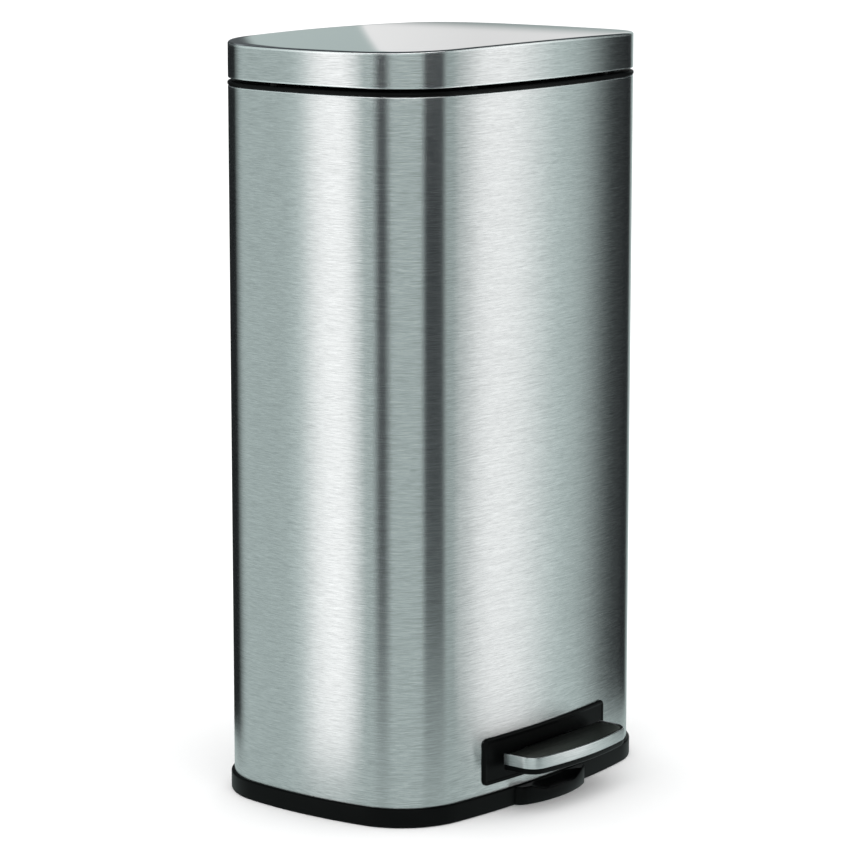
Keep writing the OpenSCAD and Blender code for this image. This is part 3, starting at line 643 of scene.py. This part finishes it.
def window_line(half, low_z, high_z, r, long=26, short=6, turn=6):
    """A rounded rectangle as (x, z), with even points along its sides."""
    corners = [(half - r, low_z + r, -90, short), (half - r, high_z - r, 0, long),
               (-half + r, high_z - r, 90, short), (-half + r, low_z + r, 180, long)]
    out = []
    for i, (x, z, start, sides) in enumerate(corners):
        arc = [Vector((x + r * cos(radians(start + 90 * k / turn)),
                       z + r * sin(radians(start + 90 * k / turn)))) for k in range(turn + 1)]
        nx, nz, turned, _ = corners[(i + 1) % 4]
        last = Vector((nx + r * cos(radians(turned)), nz + r * sin(radians(turned))))
        out += arc + [arc[-1].lerp(last, k / sides) for k in range(1, sides)]
    return out


def on_wall(line, depth):
    """A line of (x, z) laid on the body's front, at a depth in front of it."""
    return [Vector((q.x, BODY.front_at(q.x, depth), q.y)) for q in line]


def bezel_line(inset):
    return window_line(BEZEL_HALF - inset, BEZEL_LOW.z + inset, BEZEL_HIGH.z - inset,
                       max(5 - inset, 0.8))


window = window_line(WINDOW_HALF, WINDOW_LOW, WINDOW_HIGH, 1.2)
rows = [on_wall(bezel_line(e), d) for e, d in (
    (0, -0.2), (0, 1.1), (0.25, 1.7), (0.8, 2.1), (1.5, BEZEL_DEEP), (2.6, BEZEL_DEEP),
    (3.0, 2.05), (3.4, 1.75), (4.2, 1.7))]
field = bezel_line(4.2)
rows += [on_wall([a.lerp(b, k / 10) for a, b in zip(field, window)], 1.7) for k in range(1, 10)]
near = window_line(WINDOW_HALF + 0.5, WINDOW_LOW - 0.5, WINDOW_HIGH + 0.5, 1.7)
rows += [on_wall(near, 1.7), on_wall(window, 1.3), on_wall(window, -1.6)]
outer_back = bezel_line(0.5)
rows += [on_wall([a.lerp(b, k / 6) for a, b in zip(window, outer_back)], -0.2)
         for k in range(7)]
build = Build()
build.loft(rows, wrap=True)
finished("pedal_surround", build, "can", [BLACK], ["pedal_bezel"], sharp=40)

# ---------------------------------------------------------------- pedal

PEDAL_LOW, PEDAL_HIGH = span("pedal_band")
PEDAL_HALF, PEDAL_FRONT, PEDAL_REAR = PEDAL_HIGH.x, PEDAL_LOW.y, PEDAL_HIGH.y
PEDAL_ARC, PEDAL_CORNER, BAND = 310.0, 15.0, 1.2
TREAD_LOW, TREAD_HIGH = span("pedal_tread")
SHELL_LOW = span("pedal_shell")[0]
corner_x = PEDAL_HALF - PEDAL_CORNER
corner_y = PEDAL_FRONT + PEDAL_ARC - sqrt((PEDAL_ARC - PEDAL_CORNER) ** 2 - corner_x ** 2)
pedal_meet = asin(corner_x / (PEDAL_ARC - PEDAL_CORNER))


def pedal_line(inset, rear=0.0):
    """The pedal's outline without its straight rear edge, from left to right."""
    r = PEDAL_ARC - inset
    line = [(r * sin(t), PEDAL_FRONT + PEDAL_ARC - r * cos(t))
            for t in (pedal_meet * k / 24 for k in range(24))]
    r = PEDAL_CORNER - inset
    line += [(corner_x + r * sin(t), corner_y - r * cos(t))
             for t in (pedal_meet + (pi / 2 - pedal_meet) * k / 16 for k in range(17))]
    end_y = PEDAL_REAR - rear
    line += [(PEDAL_HALF - inset, corner_y + (end_y - corner_y) * k / 5) for k in range(1, 6)]
    return both_halves(line)


def pedal_rows(steps):
    return [[Vector((*q, z)) for q in pedal_line(inset, rear)] for inset, rear, z in steps]


build = Build()
band = eased([(0, PEDAL_LOW.z, 0.35), (0, PEDAL_HIGH.z, 0.55), (BAND, PEDAL_HIGH.z, 0.4),
              (BAND, PEDAL_LOW.z, 0.3)], steps=4)
# The rim's top edge takes the rolled-edge steel, whose lighter colour is a painted highlight line
tags = [1 if p[1] > PEDAL_HIGH.z - 0.56 and p[0] < 0.6 else 0 for p in band]
ids = build.loft(pedal_rows([(p[0], 0, p[1]) for p in band]), closed=False, wrap=True, tags=tags)
build.fill([row[0] for row in ids])
build.fill([row[-1] for row in ids])
finished("pedal_rim", build, "pedal", [RIM, EDGE_PAINTED_HIGHLIGHT], ["pedal_band"], sharp=50)

top = TREAD_HIGH.z
build = Build()
rows = pedal_rows([(5, 4, TREAD_LOW.z), (BAND, 0.4, TREAD_LOW.z), (BAND, 0.4, top - 0.8),
                   (BAND + 0.25, 0.6, top - 0.55), (BAND + 0.5, 0.8, top - 0.5),
                   (3.0, 1.8, top - 0.5), (3.15, 2.0, top - 0.8), (3.3, 2.2, top - 0.8),
                   (3.3, 2.2, top - 0.3), (3.5, 2.4, top - 0.08), (4.0, 2.8, top)])
rows += [shrunk(rows[-1], 1 - k / 9.5, top) for k in range(1, 10)]
# A black frame round the edge, and inside it the tread steel painted dark as painted shade
ids = build.loft(rows, tags=[0] * 7 + [1] * (len(rows) - 8))
build.fill(ids[0], 0)
build.fill(ids[-1], 1)
finished("pedal_tread_plate", build, "pedal", [BLACK, TREAD_PAINTED_SHADE], ["pedal_tread"],
         sharp=45)

bottom = SHELL_LOW.z
build = Build()
rows = pedal_rows([(9.6, 7, bottom + 1.5), (9, 6.4, bottom + 1.4), (8.4, 5.8, bottom + 0.2),
                   (8.0, 5.4, bottom), (2.6, 2.0, bottom), (1.3, 0.9, bottom + 0.35),
                   (0.5, 0.2, bottom + 1.4), (0.5, 0.2, PEDAL_LOW.z - 0.05),
                   (BAND + 0.05, 0.2, PEDAL_LOW.z), (BAND + 0.05, 0.2, TREAD_LOW.z)])
ids = build.loft(rows)
build.fill(ids[0])
build.fill(ids[-1])
shell = finished("pedal_body", build, "pedal", [BLACK], ["pedal_shell"], sharp=45)
cut_with(shell, [prism([(x + 4 * cos(a), FRONT_Y - 18 + 4 * sin(a))
                        for a in (2 * pi * k / 32 for k in range(32))], bottom - 5, bottom + 3)
                 for x in (-36, 36)])

# ---------------------------------------------------------------- lid's inner panel

# From the rim inwards: a flange inside the steel, a bead that hangs down, a raised middle
LINER_TOP = span("lid_liner")[1].z
panel = LID_LOW.z + 2
rows = [BODY.ring(offset, z) for offset, z in (
    (-SHEET - 0.05, LINER_TOP), (-SHEET - 0.05, panel + 0.6), (-SHEET - 0.7, panel),
    (-16.4, panel), (-17, panel - 0.5), (-17.1, panel - 2.6), (-17.6, panel - 3.2),
    (-18.4, panel - 3.2), (-18.9, panel - 2.6), (-19, panel - 0.5), (-19.6, panel),
    (-30, panel), (-31, panel + 0.25), (-32.2, panel + 0.95), (-33.2, panel + 1.2))]
rows += [shrunk(rows[-1], 1 - k / 6.5, panel + 1.2) for k in range(1, 7)]
build = Build()
lower = build.loft(rows)
build.fill(lower[-1])
rows = [BODY.ring(-SHEET - 2, LINER_TOP), BODY.ring(-SHEET - 2, panel + 2.4),
        BODY.ring(-SHEET - 2.6, panel + 2)]
rows += [shrunk(rows[-1], 1 - k / 4.5, panel + 2) for k in range(1, 5)]
upper = build.loft(rows)
build.fill(upper[-1])
build.bridge(lower[0], upper[0])
for x in (-22, 22):
    lathe(build, (x, ROD_Y + 1.45), [(4.5, panel + 1.5), (4.5, panel + 8.4), (3.9, panel + 9),
                                     (1.7, panel + 9)])
liner = finished("lid_inner_panel", build, "lid", [BLACK], ["lid_liner"],
                 sharp=42)
CUT_HALF = 180
cut_with(liner, [prism([(-CUT_HALF, ROD_Y - 22), (CUT_HALF, ROD_Y - 22),
                        (CUT_HALF, BACK_Y + 9), (-CUT_HALF, BACK_Y + 9)],
                       panel - 8, panel - 0.02)])

# ---------------------------------------------------------------- bucket

PAIL_LOW, PAIL_HIGH = span("inner_bucket")
PAIL_LIP, PAIL_CORNER = 3.2, 50
PAIL = Plan(PAIL_HIGH.x - PAIL_LIP, PAIL_LOW.y + PAIL_LIP, PAIL_HIGH.y - PAIL_LIP,
            FRONT_BOW - 2, SIDE_BOW - 1.5, 3.0, PAIL_CORNER, (48, 20, 26, 20, 32))
low, high = PAIL_LOW.z, PAIL_HIGH.z
profile = [(-7, low), (-3.2, low + 0.5), (-1.0, low + 2.2), (-0.1, low + 5)]
profile += [(0, low + 8 + (high - 2.8 - low - 8) * k / 16) for k in range(17)]
profile += [(offset, high - drop) for offset, drop in (
    (0.2, 2.5), (0.6, 2.4), (1.2, 2.4), (1.55, 2.7), (1.6, 3.2), (1.6, 8.6), (1.9, 9), (2.9, 9),
    (PAIL_LIP, 8.6), (PAIL_LIP, 1.6), (2.9, 0.7), (2.2, 0.15), (1.2, 0), (-1.4, 0), (-2.0, 0.3),
    (-2.2, 1.0))]
profile += [(-2.2, high - 2 - (high - 2 - low - 9) * k / 10) for k in range(11)]
profile += [(-2.9, low + 5.2), (-4.6, low + 3.2), (-8, low + 2.5)]
rows = [PAIL.ring(offset, z) for offset, z in profile]
rows = ([shrunk(rows[0], k / 5, low) for k in range(1, 5)] + rows
        + [shrunk(rows[-1], 1 - k / 5, low + 2.5) for k in range(1, 5)])
build = Build()
ids = build.loft(rows)
build.fill(ids[0])
build.fill(ids[-1])
pail = finished("pail", build, "bucket", [BUCKET], ["inner_bucket"], sharp=45)
SLOT_HALF, SLOT_HIGH, SLOT_Y, SLOT_Z = 48, 14, MID_Y - 14.25, high - 36
cut_with(pail, [prism(rounded_rect(SLOT_HALF, SLOT_HIGH, 13.9, 10, (SLOT_Y, SLOT_Z)),
                      -200, 200, "x")])

# ---------------------------------------------------------------- feet, rivets and hardware

FOOT_LOW, FOOT_HIGH = span("foot_pads")
FOOT = 11  # radius
build = Build()
for x in (FOOT_LOW.x + FOOT, FOOT_HIGH.x - FOOT):
    for y in (FOOT_LOW.y + FOOT, FOOT_HIGH.y - FOOT):
        lathe(build, (x, y), [(6.4, 0.7), (6.8, 0.35), (7.4, 0.0), (9.9, 0.0), (10.7, 0.3),
                              (FOOT, 0.9), (FOOT, FOOT_HIGH.z)], 48)
finished("foot_discs", build, "can", [RUBBER], ["foot_pads"], sharp=50)


RIVET_HEAD = (3.6, 1.4, 0.3, 5, 32)


def rivet_heads(name, node, places):
    """Domed heads on the back of the body, in place of the CAD node, at each (x, z)."""
    build = Build()
    for x, z in places:
        dome(build, (x, BODY.back_at(x), z), *RIVET_HEAD)
    finished(name, build, "can", [ZINC], [node], sharp=50)


PIN_LOW, PIN_HIGH = span("hinge_pin")
pin_z = (PIN_LOW.z + PIN_HIGH.z) / 2
rivet_heads("hinge_rivet_heads", "hinge_rivets",
            [(x, z) for x in (-26, 26) for z in (pin_z - 22, pin_z - 10)])
GUIDE_LOW, GUIDE_HIGH = span("rod_guides")
rivet_heads("guide_rivet_heads", "guide_rivets",
            [(0, z) for z in (GUIDE_LOW.z + 8, (GUIDE_LOW.z + GUIDE_HIGH.z) / 2,
                              GUIDE_HIGH.z - 8)])

FINISHES = {"foot_pads": RUBBER, "lid_bumpers": RUBBER, "inner_bucket": BUCKET,
            "pedal_band": RIM, "pedal_tread": TREAD_PAINTED_SHADE, "damper_cylinder": DAMPER,
            "body_shell": WALL, "lid_shell": WALL,
            "lift_rod": BRIGHT, "damper_piston": BRIGHT, "pedal_axle": BRIGHT,
            "hinge_pin": BRIGHT, "lever_pin": BRIGHT, "crank_pin": BRIGHT}
PLASTIC = ("top_collar", "base_tray", "bucket_platform", "pedal_bezel", "rod_guides",
           "pedal_shell", "lid_liner")
ROUNDED = {"bucket_platform": 0.5, "axle_brackets": 0.35, "hinge_bracket": 0.35,
           "lid_bracket": 0.35, "pedal_lever": 0.4, "lower_yoke": 0.4, "upper_yoke": 0.4,
           "damper_arm": 0.5, "damper_clip": 0.4, "damper_cylinder": 0.8, "rod_guides": 0.6,
           "lift_rod": 0.5, "damper_piston": 0.4, "pedal_axle": 0.4, "hinge_pin": 0.4,
           "lever_pin": 0.4, "crank_pin": 0.4, "lid_bumpers": 0.6, "axle_clips": 0.2,
           "hinge_clips": 0.2, "lid_screws": 0.35, "platform_screws": 0.35,
           "bracket_screws": 0.35, "pedal_screws": 0.35, "bezel_nuts": 0.25}
for node in NODES.values():
    name = node["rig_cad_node"]
    node.data.materials.clear()
    node.data.materials.append(FINISHES.get(name, BLACK if name in PLASTIC else ZINC))
    if name in ROUNDED:
        softened(node, ROUNDED[name])

# ---------------------------------------------------------------- floor

bpy.ops.mesh.primitive_plane_add(size=70, location=(0, 0, 0))
floor = bpy.context.object
floor.name = "studio_floor"
material, nodes, links, shader = tree_of("pale_floor")
dust = grain(nodes, links, 3.0, 3.0, (1, 1, 1))
links.new(ramp(nodes, links, dust, [(0.3, (0.955, 0.955, 0.955)), (0.7, (0.97, 0.97, 0.97))]),
          shader.inputs["Base Color"])
shader.inputs["Roughness"].default_value = 0.9
shader.inputs["Specular IOR Level"].default_value = 0.1
floor.data.materials.append(material)
floor.visible_glossy = False

# ---------------------------------------------------------------- studio room
#
# The steel reflects a room of soft boxes and dark flags, which is drawn in the world. Each table
# goes round the room as (angle, colour) stops: 0 is in front of the can, 90 to its right.

ROOM, WHITE, DARK = (0.50, 0.585, 0.575), (1.0, 1.0, 1.0), (0.72, 0.80, 0.84)


def tinted(colour, level):
    return tuple(level * c for c in colour)


# The room up to just above eye level, which the upright walls reflect
STUDIO = [
    (-180, tinted(ROOM, 0.22)), (-174, tinted(ROOM, 0.45)), (-165, tinted(ROOM, 0.90)),
    (-157, tinted(ROOM, 1.02)), (-134.5, tinted(ROOM, 0.95)), (-130, tinted(ROOM, 1.2)),
    (-124, tinted(WHITE, 1.34)), (-120, tinted(WHITE, 1.40)), (-115.4, tinted(WHITE, 1.40)),
    (-111.3, tinted(ROOM, 0.95)), (-98, tinted(ROOM, 0.92)), (-36, tinted(ROOM, 0.93)),
    (0, tinted(ROOM, 0.84)), (37.0, tinted(ROOM, 0.80)), (39.0, tinted(WHITE, 1.27)),
    (46, tinted(WHITE, 1.27)), (54.5, tinted(ROOM, 1.25)), (60.5, tinted(ROOM, 1.05)),
    (67.9, tinted(DARK, 0.04)), (95, tinted(DARK, 0.04)), (105, tinted(ROOM, 0.9)),
    (120, tinted(ROOM, 1.0)), (136, tinted(DARK, 0.03)), (176, tinted(DARK, 0.02)),
]
# The upper room, which the lid's top and the tilted edges reflect
UPPER = [
    (-180, tinted(ROOM, 0.45)), (-165, tinted(ROOM, 0.90)), (-130, tinted(ROOM, 1.2)),
    (-124, tinted(WHITE, 1.15)), (-115.4, tinted(WHITE, 1.15)), (-111.3, tinted(ROOM, 0.95)),
    (0, tinted(ROOM, 0.90)), (37, tinted(ROOM, 0.85)), (39, tinted(WHITE, 1.0)),
    (50, tinted(WHITE, 1.0)), (60.5, tinted(ROOM, 1.05)), (67.9, tinted(DARK, 0.06)),
    (95, tinted(DARK, 0.06)), (105, tinted(ROOM, 0.9)), (120, tinted(ROOM, 1.0)),
    (140, tinted(ROOM, 0.45)), (180, tinted(ROOM, 0.35)),
]
# A high soft box to the front left, which only steeply tilted edges reflect
HIGH = [
    (-180, tinted(DARK, 0.35)), (-126, tinted(DARK, 0.35)), (-106, tinted(WHITE, 2.1)),
    (4, tinted(WHITE, 2.1)), (22, tinted(DARK, 0.08)), (112, tinted(DARK, 0.1)),
    (120, tinted(WHITE, 1.15)), (129, tinted(WHITE, 1.15)), (130.5, tinted(DARK, 0.35)),
    (180, tinted(DARK, 0.35)),
]
# The wall behind the can, finer, which the top of the lid reflects
BEHIND_FROM, BEHIND_TO = 120, 140
BEHIND = [
    (120, tinted(ROOM, 1.0)), (123.5, tinted(WHITE, 0.76)), (127.5, tinted(WHITE, 0.76)),
    (129.32, tinted(WHITE, 0.85)), (129.40, tinted(ROOM, 0.86)), (131.35, tinted(ROOM, 0.90)),
    (131.5, tinted(DARK, 0.14)), (140, tinted(DARK, 0.10)),
]
CEILING = (0.06, 0.07, 0.075)
DAYLIGHT = (1.25, 1.25, 1.25)  # what all light but reflections sees in every direction

world = bpy.data.worlds.new("studio")
bpy.context.scene.world = world
world.use_nodes = True
nodes, links = world.node_tree.nodes, world.node_tree.links
seen = add(nodes, links, "ShaderNodeTexCoord").outputs["Generated"]
parts = add(nodes, links, "ShaderNodeSeparateXYZ", Vector=seen)
forward = add(nodes, links, "ShaderNodeMath", {"operation": "MULTIPLY"})
links.new(parts.outputs[1], forward.inputs[0])
forward.inputs[1].default_value = -1.0
around = add(nodes, links, "ShaderNodeMath", {"operation": "ARCTAN2"})
links.new(parts.outputs[0], around.inputs[0])
links.new(forward.outputs[0], around.inputs[1])


def angle_between(start, end):
    """0 at one angle round the room, 1 at the other."""
    return add(nodes, links, "ShaderNodeMapRange", Value=around.outputs[0], To_Min=0.0,
               To_Max=1.0, From_Min=radians(start), From_Max=radians(end)).outputs[0]


def wall(place, start, end, table):
    """A table of stops, painted round the room between two angles."""
    return ramp(nodes, links, place, [((a - start) / (end - start), c) for a, c in table])


def height_between(low, top):
    """0 below one height of the sky, 1 above the other."""
    return ramp(nodes, links, parts.outputs[2], [(low, (0, 0, 0)), (top, (1, 1, 1))])


def blended(factor, first, second):
    """A mix of two colours, each a node's socket or a plain colour."""
    mix = add(nodes, links, "ShaderNodeMix", {"data_type": "RGBA"})
    for place, value in ((0, factor), (6, first), (7, second)):
        if isinstance(value, bpy.types.NodeSocket):
            links.new(value, mix.inputs[place])
        else:
            mix.inputs[place].default_value = (*value, 1)
    return mix.outputs[2]


turned = angle_between(-180, 180)
low_wall, upper_wall, high_wall = (wall(turned, -180, 180, t) for t in (STUDIO, UPPER, HIGH))
rear_wall = wall(angle_between(BEHIND_FROM, BEHIND_TO), BEHIND_FROM, BEHIND_TO, BEHIND)
room = blended(height_between(0.10, 0.14), low_wall, upper_wall)
room = blended(angle_between(BEHIND_FROM, BEHIND_FROM + 0.01), room, rear_wall)
room = blended(height_between(0.02, 0.05), low_wall, room)
room = blended(height_between(0.36, 0.42), room, high_wall)
room = blended(height_between(0.56, 0.64), room, CEILING)
path = add(nodes, links, "ShaderNodeLightPath")
links.new(blended(path.outputs["Is Glossy Ray"], DAYLIGHT, room),
          nodes["Background"].inputs[0])
world.cycles.sampling_method = "NONE"

# ---------------------------------------------------------------- lamp and reflected cards

light = bpy.data.lights.new("overhead_box", "AREA")
light.shape, light.size, light.size_y, light.energy = "RECTANGLE", 3.0, 3.0, 14
lamp = bpy.data.objects.new("overhead_box", light)
lamp.location = (-0.6, -0.5, 3.2)
lamp.rotation_euler = (lamp.location - Vector((0, 0, 0.3))).to_track_quat("Z", "Y").to_euler()
bpy.context.scene.collection.objects.link(lamp)
lamp.visible_glossy = lamp.visible_camera = False


def only_reflected(card, material):
    """Makes the card a part of the studio that shows in reflections and nowhere else."""
    card.data.materials.append(material)
    card.visible_camera = card.visible_diffuse = card.visible_shadow = False
    card.visible_transmission = False


def glowing(name, colour, stops):
    """A light whose cover follows the stops across the card's "across" map."""
    material, nodes, links, shader = tree_of(name)
    place = add(nodes, links, "ShaderNodeUVMap", {"uv_map": "across"})
    across = add(nodes, links, "ShaderNodeSeparateXYZ", Vector=place.outputs[0])
    cover = ramp(nodes, links, across.outputs[0], [(at, (c, c, c)) for at, c in stops])
    glow = add(nodes, links, "ShaderNodeEmission", Color=(*colour, 1))
    clear = add(nodes, links, "ShaderNodeBsdfTransparent")
    both = add(nodes, links, "ShaderNodeMixShader")
    for place, made in enumerate((cover, clear.outputs[0], glow.outputs[0])):
        links.new(made, both.inputs[place])
    links.new(both.outputs[0], nodes["Material Output"].inputs[0])
    nodes.remove(shader)
    return material


def card_of(name, points, faces, across):
    """A card whose "across" map holds one number for each point."""
    mesh = bpy.data.meshes.new(name)
    mesh.from_pydata(points, [], faces)
    layer = mesh.uv_layers.new(name="across")
    for loop in mesh.loops:
        layer.data[loop.index].uv = (across[loop.vertex_index], 0.5)
    card = bpy.data.objects.new(name, mesh)
    bpy.context.scene.collection.objects.link(card)
    return card


CARD_AWAY, CARD_LOW, CARD_TOP = 0.45, 0.012, 0.85  # metres


def dark_card(name, corner, azimuth, core, soft, level):
    """A dark card on edge near one corner of the can, with soft sides, sized in degrees."""
    out = Vector((sin(radians(azimuth)), -cos(radians(azimuth)), 0))
    along = Vector((-out.y, out.x, 0))
    half = CARD_AWAY * tan(radians(core + soft))
    middle = Vector((*corner, 0)) + out * CARD_AWAY
    points = [middle + along * side * half + Vector((0, 0, z)) for side, z in
              ((-1, CARD_LOW), (1, CARD_LOW), (1, CARD_TOP), (-1, CARD_TOP))]
    card = card_of(name, points, [(0, 1, 2, 3)], (0, 1, 1, 0))
    fade = soft / (2 * (core + soft))
    only_reflected(card, glowing(name + "_felt", tinted(DARK, level),
                                 [(0.0, 0), (fade, 1), (1 - fade, 1), (1.0, 0)]))


# The lit floor close round the can, which shows low down in its walls
GLOW_INNER, GLOW_OUTER, GLOW_Z = 3, 170.0, 0.3
inner, outer = BODY.ring(GLOW_INNER, GLOW_Z), BODY.ring(GLOW_OUTER, GLOW_Z)
count = len(inner)
floor_glow = card_of("floor_glow", [p * MM for p in inner + outer],
                     [(i, (i + 1) % count, count + (i + 1) % count, count + i)
                      for i in range(count)], [0] * count + [1] * count)
only_reflected(floor_glow, glowing("floor_light", tinted(ROOM, 0.95),
                                   [(0.0, 1), (0.7, 1), (1.0, 0)]))
dark_card("left_card", (-0.130, MID_Y * MM - 0.0777), -82, 3.5, 11.5, 0.12)
dark_card("front_card", (-0.125, MID_Y * MM - 0.1177), -4.0, 13.0, 9.5, 0.09)

# ---------------------------------------------------------------- camera

AZIMUTH, ELEVATION, DISTANCE = radians(-51.65), radians(10.29), 2.9986
TARGET = Vector((-0.0091, (MID_Y + 5.75) * MM, 0.3048))
LENS, SENSOR, FAR = 148.6, 36.0, 120
camera = bpy.data.objects.new("photo_camera", bpy.data.cameras.new("photo_camera"))
back = Vector((sin(AZIMUTH) * cos(ELEVATION), -cos(AZIMUTH) * cos(ELEVATION), sin(ELEVATION)))
camera.location = TARGET + back * DISTANCE
camera.rotation_euler = (-back).to_track_quat("-Z", "Y").to_euler()
camera.data.lens, camera.data.sensor_width, camera.data.clip_end = LENS, SENSOR, FAR
bpy.context.scene.collection.objects.link(camera)
bpy.context.scene.camera = camera
bpy.context.scene.view_settings.view_transform = "Standard"
